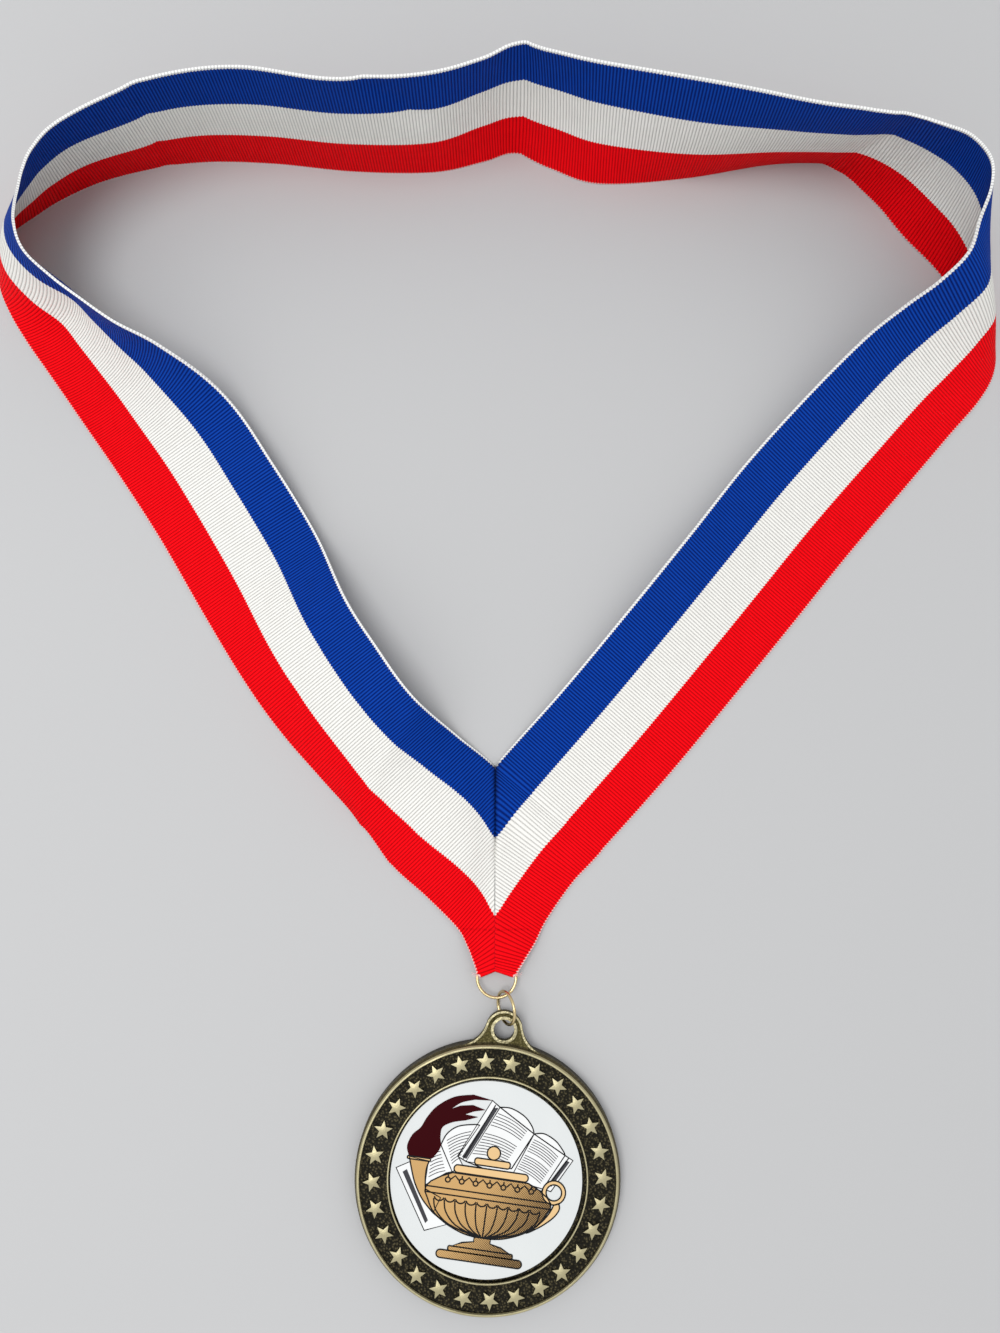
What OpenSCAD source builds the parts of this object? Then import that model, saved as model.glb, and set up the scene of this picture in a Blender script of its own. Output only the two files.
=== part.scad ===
// Academic medallion on a striped neck ribbon, lying face up.
// The origin is the middle of the medal's back. +X is right, +Y runs up towards the ribbon and +Z is up.
// Everything rests on the plane z = 0. Lengths are millimetres and angles are degrees.

/* [Medal] */
// Diameter of the casting
medal_d = 68.5; // [60:0.5:80]
// Height from the back to the top of the outer ridge
medal_t = 5; // [4.5:0.1:7]
// Turn of the medal on the floor, clockwise
medal_turn = 6.5; // [-10:0.5:12]
// Width of the slope outside the outer ridge
rim_w = 0.8; // [0.6:0.1:2]
// Width of a ridge
ridge_w = 0.6; // [0.5:0.1:1]
// Depth of the starred band below the ridges
band_drop = 0.8; // [0.5:0.1:1.2]
// Diameter of the recess for the insert
recess_d = 50.8; // [44:0.2:56]
// Depth of the recess below the ridges
recess_drop = 1.4; // [1:0.1:1.8]

/* [Stars] */
// Number of stars in the band
star_n = 28; // [12:2:32]
// Radius of a star, from its middle to a point
star_r = 2.45; // [1.6:0.05:2.6]
// Radius of the inner corners of a star
star_in = 1.05; // [0.7:0.05:1.2]
// Height of a star above the band
star_h = 0.55; // [0.3:0.05:0.8]
// Turn of the ring of stars against the hanging loop
star_turn = 1; // [-6:0.5:6]

/* [Insert] */
// Diameter of the printed disc
insert_d = 49.3; // [42:0.1:54.5]
// Thickness of the printed disc
insert_t = 0.8; // [0.5:0.1:1]
// How far the disc has slipped to the left in its recess
insert_left = 0.35; // [0:0.05:0.5]

/* [Hanging loop] */
// Diameter of the hole
hole_d = 5.4; // [4.8:0.1:6]
// Distance from the medal's edge to the middle of the hole
hole_out = 3.4; // [2:0.1:4]
// Metal between the hole and the outline
loop_web = 2.1; // [1.7:0.1:2.4]
// Radius of the hollow flanks of the loop
flare_r = 8; // [3:0.5:10]
// Thickness of the loop with its beads
loop_t = 1.75; // [1.4:0.05:2]
// Width of the raised bead round the outline and the hole
bead_w = 0.5; // [0.3:0.05:0.8]
// Height of the beads
bead_h = 0.4; // [0.2:0.05:0.5]

/* [Rings] */
// Wire of both rings
wire_d = 0.8; // [0.6:0.05:0.9]
// Radius of the small ring, at the middle of its wire
link_r = 4.2; // [4:0.1:4.4]
// Radius of the large ring, at the middle of its wire
big_r = 5.1; // [4.8:0.1:5.4]
// Tilt of the small ring, right side up
link_tilt = 60; // [50:1:62]
// Turn of the small ring on the floor, top end to the left
link_spin = 6; // [0:1:12]
// Tilt of the large ring, medal side up
big_tilt = 6; // [4:1:8]

/* [Ribbon] */
// Width of the ribbon
ribbon_w = 38.1; // [36:0.1:40]
// Thickness of the ribbon
ribbon_t = 1; // [1:0.1:1.3]
// Half the width of the loop that the ribbon lies in
loop_half = 140; // [125:1:155]
// Length of the loop, from the hem to the crease behind the neck
loop_len = 229.5; // [215:0.5:245]
// Length of the tip that is turned back behind
tip_back = 10; // [8:0.5:11]

/* [Fit] */
// Air between pieces that touch loosely
gap = 0.12; // [0.05:0.01:0.2]

/* [Hidden] */
$fn = 96;

medal_r = medal_d / 2;
recess_r = recess_d / 2;
ridge_z = medal_t;
band_z = medal_t - band_drop;
recess_z = medal_t - recess_drop;
outer_ridge_r = medal_r - rim_w;
band_out = outer_ridge_r - ridge_w;
band_in = recess_r + ridge_w;
// How far the ring of stars lies outside the middle of the band
star_out = 0.2;
star_pitch_r = (band_out + band_in) / 2 + star_out;
// Width of the soft outer edges, and how far the flanks of a ridge slope
edge_round = 0.5;
flank = 0.2;
// How far raised work runs into the metal below it, and how far a cut runs past a face
sink = 0.3;
past = 1;

hole_y = medal_r + hole_out;
hole_r = hole_d / 2;
loop_r = hole_r + loop_web;
// How far the top of the hanging loop lies below the ridges
loop_drop = 0.9;
loop_top = medal_t - loop_drop;
loop_z = loop_top - loop_t;
// How far the loop runs in under the casting's edge, and where its beads stop
loop_root = 4;
bead_stop = 0.8;
// Width of the bead round the hole
hole_bead_w = bead_w * 1.5;
// Air under the printed disc
insert_air = 0.03;

// Middle of the hole after the medal's turn
hole_at = [hole_y * sin(medal_turn), hole_y * cos(medal_turn)];

// Air between the floor and what lies low
floor_air = 0.01;
// How far the tilted small ring's wire stays from the top of the hole, to clear the bar
link_sag = 0.85;
// How far the small ring has slipped to the right
link_aside = 0.55;
// Middle of the small ring, whose wire passes just inside the hole and whose low side leans on the floor
link_at = [
    hole_at[0] + link_aside,
    hole_at[1] + hole_r - wire_d / 2 - link_sag + link_r,
    link_r * sin(link_tilt) + wire_d / 2 + floor_air
];
// How far the two rings reach into each other
ring_hook = 2;
// How far the large ring's middle lies to the left of the small one's and below it
big_left = 2.5;
big_low = 1.85;
// Middle of the large ring, which hangs on the small ring
big_at = [link_at[0] - big_left, link_at[1] + link_r + big_r - ring_hook, link_at[2] - big_low];

// A ring of round wire, tilted about X and then about Y, and then turned on the floor
module wire_ring(at, radius, tilt_x, tilt_y, spin)
    translate(at)
        rotate([-tilt_x, -tilt_y, spin])
            rotate_extrude()
                translate([radius, 0])
                    circle(d = wire_d, $fn = 32);

// Outline of the hanging loop, set in by a width, with flanks that run tangent to the rim and the round top
module loop_outline(inset) {
    far = medal_r + flare_r;
    near = loop_r + flare_r;
    cy = (far * far - near * near + hole_y * hole_y) / (2 * hole_y);
    cx = sqrt(far * far - cy * cy);
    root = medal_r / far;
    translate([0, hole_y]) circle(r = loop_r - inset);
    difference() {
        polygon([
            [0, medal_r - loop_root],
            [cx * root, cy * root],
            [cx, cy],
            [0, hole_y],
            [-cx, cy],
            [-cx * root, cy * root]
        ]);
        for (side = [-1, 1])
            translate([side * cx, cy]) circle(r = flare_r + inset);
    }
}

module star_outline()
    polygon([
        for (k = [0:9])
            let (r = k % 2 == 0 ? star_r : star_in, a = 90 + 36 * k)
                [r * cos(a), r * sin(a)]
    ]);

// Half section of the round casting, from the axis outwards
module medal_section()
    polygon([
        [0, 0],
        [medal_r - edge_round, 0],
        [medal_r, edge_round],
        [medal_r, band_z - edge_round],
        [outer_ridge_r + flank, ridge_z - flank],
        [outer_ridge_r, ridge_z],
        [band_out + flank, ridge_z],
        [band_out, band_z],
        [band_in, band_z],
        [band_in - flank, ridge_z - flank / 2],
        [recess_r + flank / 2, ridge_z - flank / 2],
        [recess_r, recess_z],
        [0, recess_z]
    ]);

module hanging_loop() {
    difference() {
        union() {
            translate([0, 0, loop_z])
                linear_extrude(loop_t - bead_h) loop_outline(0);
            translate([0, 0, loop_z + loop_t - bead_h - sink])
                linear_extrude(bead_h + sink)
                    difference() {
                        loop_outline(0);
                        loop_outline(bead_w);
                    }
            translate([0, hole_y, loop_z + loop_t - bead_h - sink])
                cylinder(r = hole_r + hole_bead_w, h = bead_h + sink);
        }
        translate([0, hole_y, loop_z - past]) cylinder(r = hole_r, h = loop_t + 2 * past);
        // The beads stop at the casting's own edge
        cylinder(r = medal_r - bead_stop, h = medal_t + past);
    }
}

module medal()
    color([0.42, 0.37, 0.24])
        rotate(-medal_turn) {
            rotate_extrude($fn = 180) medal_section();
            for (k = [0:star_n - 1])
                rotate((k + 0.5) * 360 / star_n + star_turn)
                    translate([0, star_pitch_r, band_z - sink])
                        linear_extrude(star_h + sink) star_outline();
            hanging_loop();
        }

module insert_disc()
    color([0.88, 0.9, 0.9])
        rotate(-medal_turn)
            translate([-insert_left, 0, recess_z + insert_air])
                cylinder(d = insert_d, h = insert_t, $fn = 180);

module link_ring()
    color([0.8, 0.74, 0.52]) wire_ring(link_at, link_r, 0, link_tilt, link_spin);

module ribbon_ring()
    color([0.8, 0.74, 0.52]) wire_ring(big_at, big_r, big_tilt, 0, 0);

half_t = ribbon_t / 2;

// Ribbon: a sheet of rows. A row runs across it from its red edge, j = 0, to its blue edge, j = cells.
cells = 6;
steps = 3;
v_steps = 2;

// Height of the large ring's plane at a place along Y
function ring_plane(y) = big_at[2] - (y - big_at[1]) * tan(big_tilt);

// Half the distance between the two layers of the tip, at the middle of the cloth
fold_r = (wire_d + ribbon_t) / 2 + gap;
// The seam lies a little to the left of the large ring's middle
seam_aside = 0.5;
seam_x = big_at[0] - seam_aside;
hem_y = big_at[1] + big_r / 2;

// Foot of the red edge on the floor, as shares of loop_half and of loop_len above the hem
FOOT_X = 0;
FOOT_Y = 1;
// Where the blue edge lies from the foot, seen from above, as shares of ribbon_w
REACH_X = 2;
REACH_Y = 3;
// How many degrees the ribbon bends from edge to edge, and how far its middle bulges as a share of ribbon_w
CURL = 4;
BULGE = 5;
// The first and the last row only steer the curve
stations = [
    [-0.126, 0.080, 0.74, 0.64, 0, 0],
    [-0.183, 0.114, 0.72, 0.69, 0, 0],
    [-0.242, 0.164, 0.66, 0.62, -65, 0],
    [-0.319, 0.215, 0.67, 0.57, -36, 0],
    [-0.405, 0.274, 0.74, 0.55, -32, 0],
    [-0.476, 0.334, 0.79, 0.51, -20, 0],
    [-0.555, 0.411, 0.84, 0.52, -15, 0],
    [-0.640, 0.498, 0.84, 0.51, 0, 0],
    [-0.724, 0.575, 0.82, 0.51, 20, 0],
    [-0.790, 0.632, 0.69, 0.42, 70, 0],
    [-0.835, 0.671, 0.59, 0.30, 95, 0],
    [-0.877, 0.707, 0.52, 0.23, 105, 0],
    [-0.913, 0.738, 0.48, 0.17, 110, 0],
    [-0.946, 0.772, 0.47, 0.09, 80, 0.05],
    [-0.970, 0.808, 0.52, 0.03, 25, 0.05],
    [-0.972, 0.844, 0.53, -0.06, -5, 0.02],
    [-0.952, 0.876, 0.48, -0.17, 0, 0.01],
    [-0.905, 0.899, 0.36, -0.20, 0, 0],
    [-0.856, 0.919, 0.25, -0.21, 0, 0],
    [-0.780, 0.941, 0.12, -0.20, 0, 0],
    [-0.685, 0.957, 0.06, -0.14, 0, -0.01],
    [-0.570, 0.967, 0.02, -0.05, 0, 0],
    [-0.430, 0.965, 0.00, 0.02, 0, -0.01],
    [-0.270, 0.955, 0.00, 0.00, 0, 0],
    [-0.110, 0.954, 0.00, 0.04, 0, 0],
    [-0.010, 0.967, 0.00, 0.06, 0, 0.04],
    [0.050, 0.977, 0.00, 0.10, 0, 0.03],
    [0.125, 0.958, -0.05, 0.18, 0, 0.05],
    [0.220, 0.939, -0.05, 0.22, 0, 0.03],
    [0.390, 0.946, 0.00, 0.04, 0, -0.04],
    [0.555, 0.963, 0.00, -0.18, 0, -0.05],
    [0.655, 0.965, 0.01, -0.24, 0, -0.04],
    [0.702, 0.955, 0.00, -0.21, 0, 0],
    [0.726, 0.945, -0.02, -0.16, 0, 0.03],
    [0.750, 0.930, -0.02, -0.10, 0, 0.06],
    [0.785, 0.907, 0.02, -0.02, 0, 0.07],
    [0.830, 0.871, 0.02, 0.13, 0, 0.07],
    [0.887, 0.834, -0.07, 0.22, 0, 0.06],
    [0.930, 0.800, -0.21, 0.27, -15, 0.04],
    [0.972, 0.770, -0.40, 0.29, -35, 0],
    [1.000, 0.735, -0.54, 0.32, -30, 0],
    [0.996, 0.699, -0.66, 0.40, 5, 0],
    [0.965, 0.665, -0.72, 0.50, 20, 0],
    [0.905, 0.623, -0.73, 0.58, 20, 0],
    [0.809, 0.555, -0.75, 0.62, 12, 0],
    [0.700, 0.478, -0.76, 0.63, 10, 0],
    [0.590, 0.396, -0.75, 0.63, 18, 0],
    [0.465, 0.304, -0.74, 0.63, 18, 0],
    [0.343, 0.216, -0.73, 0.63, 16, 0],
    [0.210, 0.127, -0.72, 0.62, 0, 0],
    [0.157, 0.094, -0.77, 0.52, 0, 0]
];

// Rows of the mitred front, from the hem up to the notch between the arms. The outer ends and the seam are
// shares of ribbon_w from the hem's middle. The lifts are shares of the hem's height above the lying cloth, and
// the arch is how high the left arm bulges as a share of ribbon_w.
// The first and the last row only steer the curve.
OUT_LX = 0;
OUT_LY = 1;
SEAM_Y = 2;
OUT_RX = 3;
OUT_RY = 4;
LIFT_L = 5;
LIFT_S = 6;
LIFT_R = 7;
ARCH_L = 8;
front = [
    [-0.11, -0.10, -0.12, 0.12, -0.14, 1.00, 1.00, 1.00, 0.00],
    [-0.125, -0.04, 0.00, 0.155, -0.04, 1.00, 0.94, 1.00, 0.00],
    [-0.145, 0.03, 0.12, 0.215, 0.06, 0.93, 0.78, 0.93, 0.00],
    [-0.195, 0.15, 0.34, 0.285, 0.17, 0.52, 0.46, 0.54, 0.00],
    [-0.27, 0.27, 0.57, 0.365, 0.32, 0.20, 0.24, 0.20, 0.00],
    [-0.48, 0.48, 0.96, 0.545, 0.57, 0.04, 0.12, 0.04, 0.10],
    [-0.715, 0.69, 1.38, 0.735, 0.77, 0.00, 0.05, 0.00, 0.15],
    [-0.95, 0.99, 1.78, 1.21, 1.30, 0.00, 0.05, 0.00, 0.20]
];

// Row a share t of the way from row p1 to row p2 of a table, on a smooth curve through all the rows
function blend(p0, p1, p2, p3, t) =
    p1 + (p2 - p0) * t / 2 + (2 * p0 - 5 * p1 + 4 * p2 - p3) * t * t / 2
    + (3 * p1 - p0 - 3 * p2 + p3) * t * t * t / 2;

function refine(table, count) =
    let (last = len(table) - 2)
        [
            for (i = [1:last - 1], k = [0:count - 1])
                blend(table[i - 1], table[i], table[i + 1], table[i + 2], k / count),
            table[last]
        ];

function unit(v) = v / norm(v);

fine = refine(stations, steps);
n_fine = len(fine);

function foot(row) = [row[FOOT_X] * loop_half, hem_y + row[FOOT_Y] * loop_len];

// Direction across the foot line, to the outside of the loop
function outward(i) =
    let (a = foot(fine[max(i - 1, 0)]), b = foot(fine[min(i + 1, n_fine - 1)]), t = unit(b - a))
        [-t[1], t[0]];

// Running sum of the steps along a bent section: how far it reaches and how high it climbs
function climb(rise, curl, j, sum = [0, 0], k = 0) =
    k >= j ? sum
    : let (slope = rise + curl * ((k + 0.5) / cells - 0.5))
        climb(rise, curl, j, sum + ribbon_w / cells * [cos(slope), sin(slope)], k + 1);

// The arms come down to the height of the front over a few stations, and the left one keeps the front's arch
fine_front = refine(front, v_steps);
n_front = len(fine_front);
settle = 3;
function kept(i) = let (t = min(min(i, n_fine - 1 - i) / (settle * steps), 1)) t * t * (3 - 2 * t);
function end_arch(i) = i < n_fine / 2 ? fine_front[n_front - 1][ARCH_L] * (1 - kept(i)) : 0;

// Height of an arched row, and how far its points are drawn from its middle, as a share of the row
function arched(arch, s) = arch * ribbon_w * sin(180 * s);
arch_pull = 1.6;
function drawn(arch, s) = arch_pull * arch * sin(360 * s) / (2 * PI);

function section_row(i) =
    let (
        row = fine[i],
        reach = max(norm([row[REACH_X], row[REACH_Y]]), 0.001),
        way = [row[REACH_X], row[REACH_Y]] / reach,
        half = max(abs(row[CURL]), 0.01) / 2,
        squeeze = sin(half) / (half * PI / 180),
        rise = acos(min(reach / squeeze, 1)),
        base = ribbon_t / 2 * max(0, cos(rise - row[CURL] / 2)),
        out = outward(i)
    )
        [
            for (j = [0:cells])
                let (
                    c = climb(rise, row[CURL], j),
                    s = j / cells,
                    run = c[0] - ribbon_w * drawn(end_arch(i), s),
                    plan = foot(row) + run * way + 4 * row[BULGE] * ribbon_w * s * (1 - s) * out
                )
                    [plan[0], plan[1], base + c[1] * kept(i) + arched(end_arch(i), s)]
        ];

hem_lift = ring_plane(hem_y + front[1][OUT_LY] * ribbon_w) + fold_r - ribbon_t / 2;

function seam_point(row) = [seam_x, hem_y + row[SEAM_Y] * ribbon_w, ribbon_t / 2 + row[LIFT_S] * hem_lift];

function front_row(i, side) =
    let (
        row = fine_front[i],
        x = side < 0 ? row[OUT_LX] : row[OUT_RX],
        y = side < 0 ? row[OUT_LY] : row[OUT_RY],
        lift = side < 0 ? row[LIFT_L] : row[LIFT_R],
        arch = side < 0 ? row[ARCH_L] : 0,
        outer = [seam_x + x * ribbon_w, hem_y + y * ribbon_w, ribbon_t / 2 + lift * hem_lift]
    )
        [
            for (j = [0:cells])
                let (s = j / cells)
                    outer + (seam_point(row) - outer) * (s - drawn(arch, s))
                    + [0, 0, arched(arch, s)]
        ];

// All rows of the sheet: up the left front, round the loop and down the right front
rows = [
    for (i = [0:n_front - 1]) front_row(i, -1),
    for (i = [1:n_fine - 2]) section_row(i),
    for (i = [n_front - 1:-1:0]) front_row(i, 1)
];
n_rows = len(rows);
across = cells + 1;

// Upward or outward normal of the sheet at a point
function sheet_normal(i, j) =
    i == 0 || i == n_rows - 1 || (j == cells && (i < n_front || i >= n_rows - n_front)) ? [0, 0, 1]
    : unit(cross(
        rows[i][min(j + 1, cells)] - rows[i][max(j - 1, 0)],
        rows[i + 1][j] - rows[i - 1][j]
    ));

// How far a row is lifted, so that the cloth round the loop stands on the floor and the front stays above it
function row_lift(i) =
    let (lowest = min([for (j = [0:cells]) rows[i][j][2] - half_t * abs(sheet_normal(i, j)[2])]))
        i < n_front || i >= n_rows - n_front ? max(0, -lowest) : -lowest;
lifts = [for (i = [0:n_rows - 1]) [0, 0, row_lift(i)]];

// The tip: it turns round the large ring's wire inside the ring, and runs back up behind the front
hem_points = [
    for (j = [0:cells]) rows[0][j],
    for (j = [cells - 1:-1:0]) rows[n_rows - 1][j]
];
tip_cells = len(hem_points) - 1;
turn_steps = 6;
back_steps = 3;
tip_mid = (hem_points[0][0] + hem_points[tip_cells][0]) / 2;
tip_half = (hem_points[tip_cells][0] - hem_points[0][0]) / 2;

// The tip is squeezed early in its turn, so that it passes inside the large ring
inside_half = big_r - wire_d / 2 - 3 * gap;
squeeze_pace = 1.6;

function narrow(turn) = 1 - (1 - inside_half / tip_half) * min(1, squeeze_pace * sin(turn));

function tip_row(p) =
    let (turn = min(p / turn_steps, 1) * 180, back = max(p - turn_steps, 0) / back_steps * tip_back)
        [
            for (h = hem_points)
                let (
                    x = tip_mid + (h[0] - tip_mid) * narrow(turn),
                    y = h[1] - fold_r * sin(turn) + back,
                    low = ring_plane(h[1] + back) + fold_r * cos(turn)
                )
                    [x, y, max(low, half_t + floor_air)]
        ];
tip_rows = [for (p = [1:turn_steps + back_steps]) tip_row(p)];

function tip_normal(p) =
    let (turn = min(p / turn_steps, 1) * 180)
        [0, -sin(turn), cos(turn)];

face_points = [
    for (i = [0:n_rows - 1], j = [0:cells]) rows[i][j] + lifts[i] + half_t * sheet_normal(i, j),
    for (p = [1:len(tip_rows)], q = [0:tip_cells]) tip_rows[p - 1][q] + half_t * tip_normal(p)
];
back_points = [
    for (i = [0:n_rows - 1], j = [0:cells]) rows[i][j] + lifts[i] - half_t * sheet_normal(i, j),
    for (p = [1:len(tip_rows)], q = [0:tip_cells]) tip_rows[p - 1][q] - half_t * tip_normal(p)
];
under = len(face_points);

// Number of a point of the sheet. Both sides of the front share the points on the seam.
function at(i, j) = j == cells && i >= n_rows - n_front ? (n_rows - 1 - i) * across + j : i * across + j;
function tip_at(p, q) =
    p == 0 ? (q <= cells ? at(0, q) : at(n_rows - 1, tip_cells - q))
    : n_rows * across + (p - 1) * (tip_cells + 1) + q;

// Two triangles of a four-sided face, and the same face turned over on the back of the cloth
function quad(a, b, c, d) = [[a, b, c], [a, c, d]];
function pair(a, b, c, d) = concat(quad(a, b, c, d), quad(under + d, under + c, under + b, under + a));
function wall(a, b) = quad(a, b, under + b, under + a);

ribbon_faces = [
    for (i = [0:n_rows - 2], j = [0:cells - 1])
        each pair(at(i, j), at(i + 1, j), at(i + 1, j + 1), at(i, j + 1)),
    for (p = [0:len(tip_rows) - 1], q = [0:tip_cells - 1])
        each pair(tip_at(p, q), tip_at(p, q + 1), tip_at(p + 1, q + 1), tip_at(p + 1, q)),
    for (i = [0:n_rows - 2]) each wall(at(i + 1, 0), at(i, 0)),
    for (i = [n_front - 1:n_rows - n_front - 1]) each wall(at(i, cells), at(i + 1, cells)),
    for (p = [0:len(tip_rows) - 1]) each wall(tip_at(p, 0), tip_at(p + 1, 0)),
    for (p = [0:len(tip_rows) - 1]) each wall(tip_at(p + 1, tip_cells), tip_at(p, tip_cells)),
    for (q = [0:tip_cells - 1]) each wall(tip_at(len(tip_rows), q), tip_at(len(tip_rows), q + 1))
];

module ribbon()
    color([0.85, 0.05, 0.1]) polyhedron(concat(face_points, back_points), ribbon_faces);

medal();
insert_disc();
link_ring();
ribbon_ring();
ribbon();
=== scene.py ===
import math

import bpy
import numpy as np
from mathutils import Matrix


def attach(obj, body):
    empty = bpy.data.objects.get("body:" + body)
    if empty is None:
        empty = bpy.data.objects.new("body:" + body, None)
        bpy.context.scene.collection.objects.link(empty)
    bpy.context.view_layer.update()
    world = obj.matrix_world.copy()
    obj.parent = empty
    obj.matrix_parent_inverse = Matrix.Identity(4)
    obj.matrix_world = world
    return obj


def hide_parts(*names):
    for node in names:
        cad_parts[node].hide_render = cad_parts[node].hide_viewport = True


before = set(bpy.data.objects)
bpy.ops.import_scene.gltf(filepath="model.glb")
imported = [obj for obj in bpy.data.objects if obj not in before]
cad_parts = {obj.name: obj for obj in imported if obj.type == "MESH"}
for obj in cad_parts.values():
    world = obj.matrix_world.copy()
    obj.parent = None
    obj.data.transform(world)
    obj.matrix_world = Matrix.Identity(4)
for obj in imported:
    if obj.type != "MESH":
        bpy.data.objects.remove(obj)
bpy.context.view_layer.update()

MM = 0.001

# Camera


def add_camera():
    """The photograph is taken from above, tipped a little towards the top of the ribbon."""
    bpy.ops.object.camera_add(location=(0.0032, 0.11465, 0.2574), rotation=(math.radians(3.95), 0, 0))
    camera = bpy.context.object
    camera.name = "camera"
    camera.data.lens = 25.71
    camera.data.sensor_width = 36
    camera.data.clip_start = 0.01
    bpy.context.scene.camera = camera


add_camera()

# Helpers for materials


def new_material(name):
    material = bpy.data.materials.new(name)
    material.use_nodes = True
    tree = material.node_tree
    shader = tree.nodes["Principled BSDF"]
    return material, tree, shader


def new_group(name, inputs, outputs):
    """A shared effect. An input is a name with its default, or with "vector" for a place."""
    tree = bpy.data.node_groups.new(name, "ShaderNodeTree")
    for label, default in inputs:
        kind = "NodeSocketVector" if default == "vector" else "NodeSocketFloat"
        socket = tree.interface.new_socket(label, in_out="INPUT", socket_type=kind)
        if default != "vector":
            socket.default_value = default
    for label in outputs:
        tree.interface.new_socket(label, in_out="OUTPUT", socket_type="NodeSocketFloat")
    return tree, tree.nodes.new("NodeGroupInput"), tree.nodes.new("NodeGroupOutput")


def feed(tree, socket, value):
    if isinstance(value, bpy.types.NodeSocket):
        tree.links.new(value, socket)
    else:
        socket.default_value = value


def maths(tree, operation, a, b=0.0, c=0.0, clamp=False):
    n = tree.nodes.new("ShaderNodeMath")
    n.operation = operation
    n.use_clamp = clamp
    for k, value in enumerate((a, b, c)):
        feed(tree, n.inputs[k], value)
    return n.outputs[0]


def smooth(tree, value, low, high, to_low=0.0, to_high=1.0):
    n = tree.nodes.new("ShaderNodeMapRange")
    n.interpolation_type = "SMOOTHSTEP"
    feed(tree, n.inputs["Value"], value)
    feed(tree, n.inputs["From Min"], low)
    feed(tree, n.inputs["From Max"], high)
    feed(tree, n.inputs["To Min"], to_low)
    feed(tree, n.inputs["To Max"], to_high)
    return n.outputs["Result"]


def mix(tree, factor, a, b, blend="MIX"):
    n = tree.nodes.new("ShaderNodeMix")
    n.data_type = "RGBA"
    n.blend_type = blend
    feed(tree, n.inputs[0], factor)
    feed(tree, n.inputs[6], a)
    feed(tree, n.inputs[7], b)
    return n.outputs[2]


def split(tree, vector):
    n = tree.nodes.new("ShaderNodeSeparateXYZ")
    feed(tree, n.inputs[0], vector)
    return n.outputs


def noise(tree, vector, scale, detail, rough):
    n = tree.nodes.new("ShaderNodeTexNoise")
    feed(tree, n.inputs["Vector"], vector)
    n.inputs["Scale"].default_value = scale
    n.inputs["Detail"].default_value = detail
    n.inputs["Roughness"].default_value = rough
    return n.outputs["Fac"]


def cells(tree, vector, scale, even=False):
    """Distance from the nearest cell's middle. Even cells make the flat square screen of a printed tint."""
    n = tree.nodes.new("ShaderNodeTexVoronoi")
    n.feature = "F1"
    feed(tree, n.inputs["Vector"], vector)
    n.inputs["Scale"].default_value = scale
    if even:
        n.inputs["Randomness"].default_value = 0.0
        n.voronoi_dimensions = "2D"
    return n.outputs["Distance"]


def bump(tree, height, distance, strength):
    n = tree.nodes.new("ShaderNodeBump")
    n.inputs["Strength"].default_value = strength
    n.inputs["Distance"].default_value = distance
    feed(tree, n.inputs["Height"], height)
    return n.outputs["Normal"]


def object_place(tree):
    return tree.nodes.new("ShaderNodeTexCoord").outputs["Object"]


def place_group(tree, group, **inputs):
    n = tree.nodes.new("ShaderNodeGroup")
    n.node_tree = group
    for label, value in inputs.items():
        feed(tree, n.inputs[label.replace("_", " ")], value)
    return n.outputs


def finish_variation():
    """Slow unevenness of a finish: a patch value round 0.5 and a fine grain, both from a place on the piece."""
    tree, given, result = new_group(
        "finish_variation",
        [("Place", "vector"), ("Patch size", 200.0), ("Grain size", 3000.0)],
        ["Patch", "Grain"],
    )
    patch = tree.nodes.new("ShaderNodeTexNoise")
    tree.links.new(given.outputs["Place"], patch.inputs["Vector"])
    tree.links.new(given.outputs["Patch size"], patch.inputs["Scale"])
    grain = tree.nodes.new("ShaderNodeTexNoise")
    tree.links.new(given.outputs["Place"], grain.inputs["Vector"])
    tree.links.new(given.outputs["Grain size"], grain.inputs["Scale"])
    tree.links.new(patch.outputs["Fac"], result.inputs["Patch"])
    tree.links.new(grain.outputs["Fac"], result.inputs["Grain"])
    return tree


VARIATION = finish_variation()


def select_only(*pieces):
    """Select these pieces and no others, and make the first one active."""
    bpy.ops.object.select_all(action="DESELECT")
    for piece in pieces:
        piece.select_set(True)
    bpy.context.view_layer.objects.active = pieces[0]


# Shape of the ribbon, in millimetres

RIBBON_W = 38.1
CLOTH_T = 0.6
LOOP_HALF = 140
LOOP_LEN = 229.5
WIRE_D = 0.8
RING_AT = (2.31, 50.36, 2.2)
RING_R = 5.1
RING_TILT = math.radians(6)
HEM_Y = RING_AT[1] + RING_R / 2
SEAM_X = RING_AT[0] - 0.5
RIB = 0.82

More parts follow.
